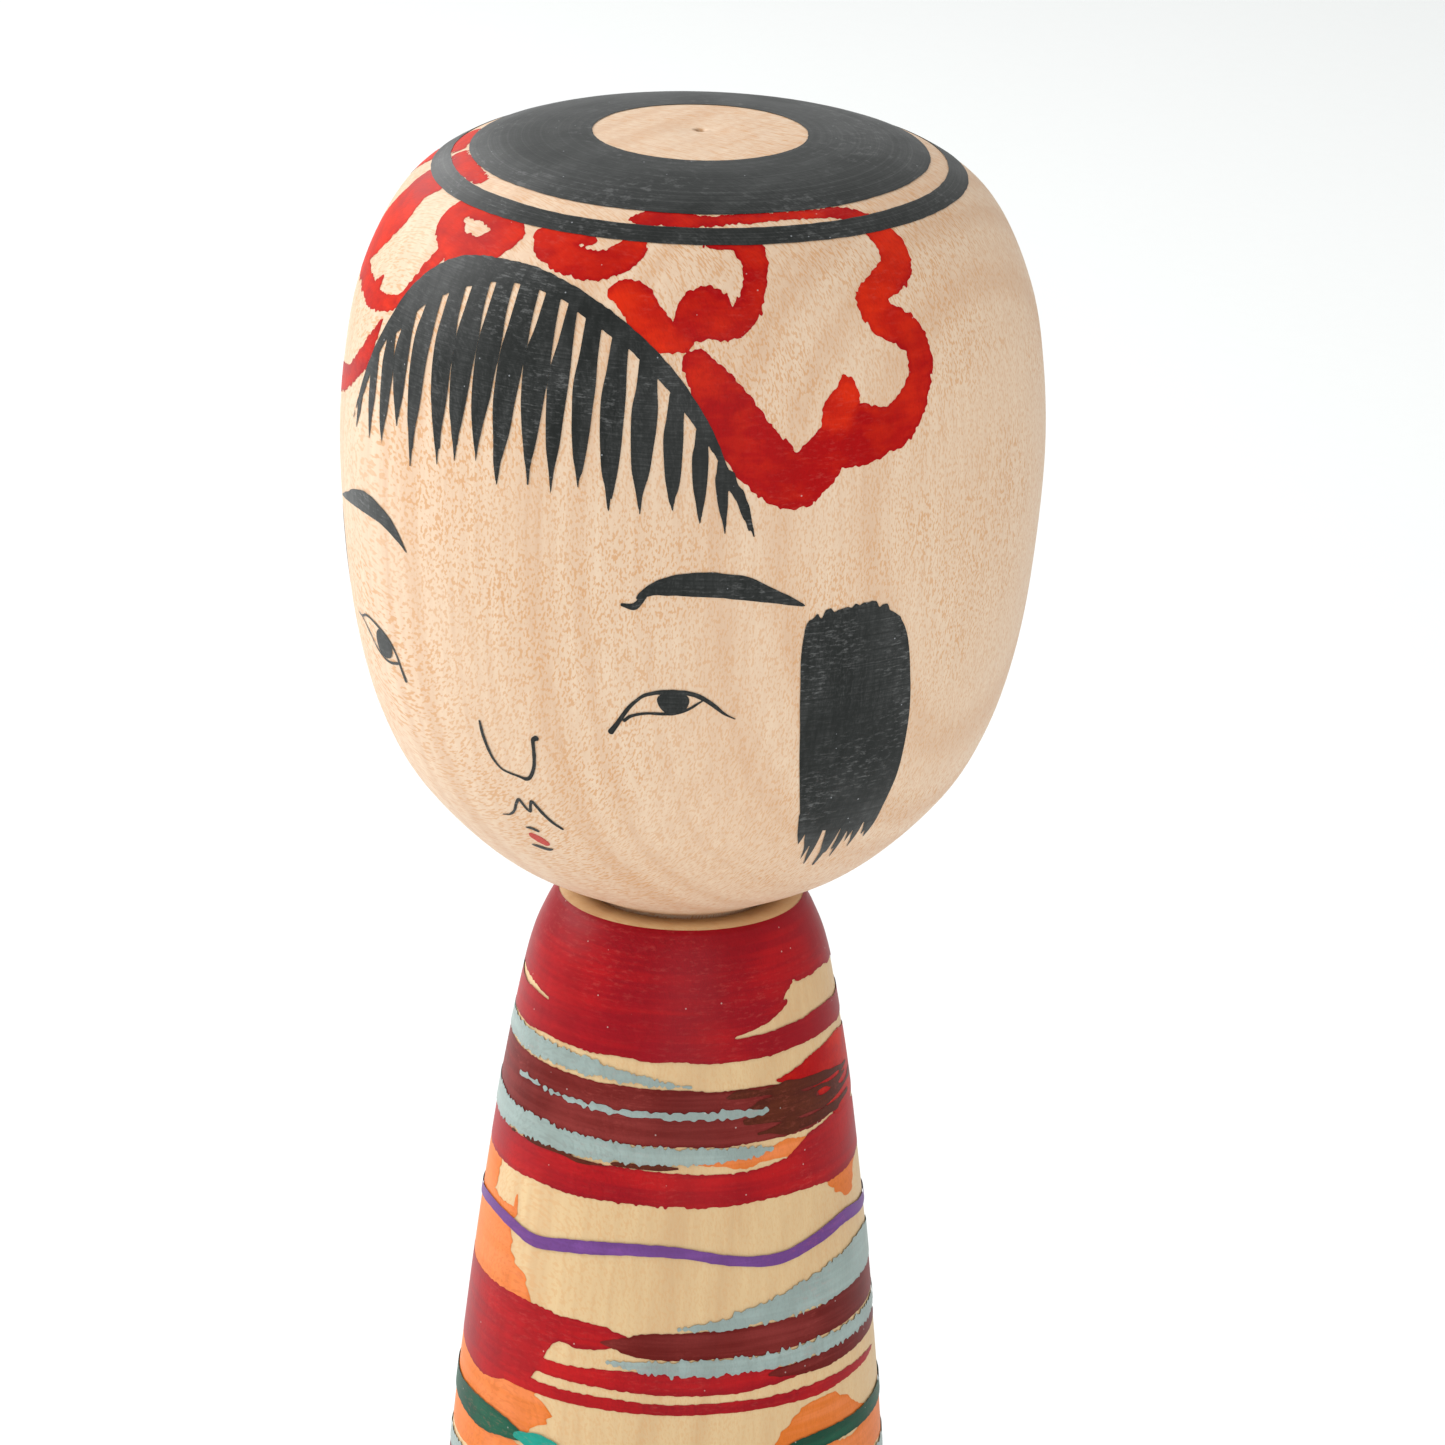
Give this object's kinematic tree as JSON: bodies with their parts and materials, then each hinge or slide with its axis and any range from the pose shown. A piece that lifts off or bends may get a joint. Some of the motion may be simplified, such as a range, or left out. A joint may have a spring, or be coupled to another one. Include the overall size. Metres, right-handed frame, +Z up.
{
  "type": "kokeshi doll",
  "caption": "Turned wooden doll: a round painted head that turns in a socket at the top of a tapered, striped body with a flat base.",
  "frame": {"origin": "centre of the flat base, on the turning axis", "axes": "+Z up along the turning axis; the painted face looks along -Y"},
  "size_m": [0.062, 0.062, 0.24],
  "materials": {
    "painted_body_wood": "dyed stripes on pale turned wood, waxed to a low sheen",
    "painted_head_wood": "pale maple with brushed black ink and red dye, waxed to a low sheen"
  },
  "bodies": {
    "body": {"body": "painted_body_wood"},
    "head": {"head": "painted_head_wood"}
  },
  "joints": [
    {"name": "head_turn", "type": "hinge", "parent": "body", "child": "head", "pos_m": [0, 0, 0.1652], "axis": [0, 0, 1], "continuous": true}
  ]
}
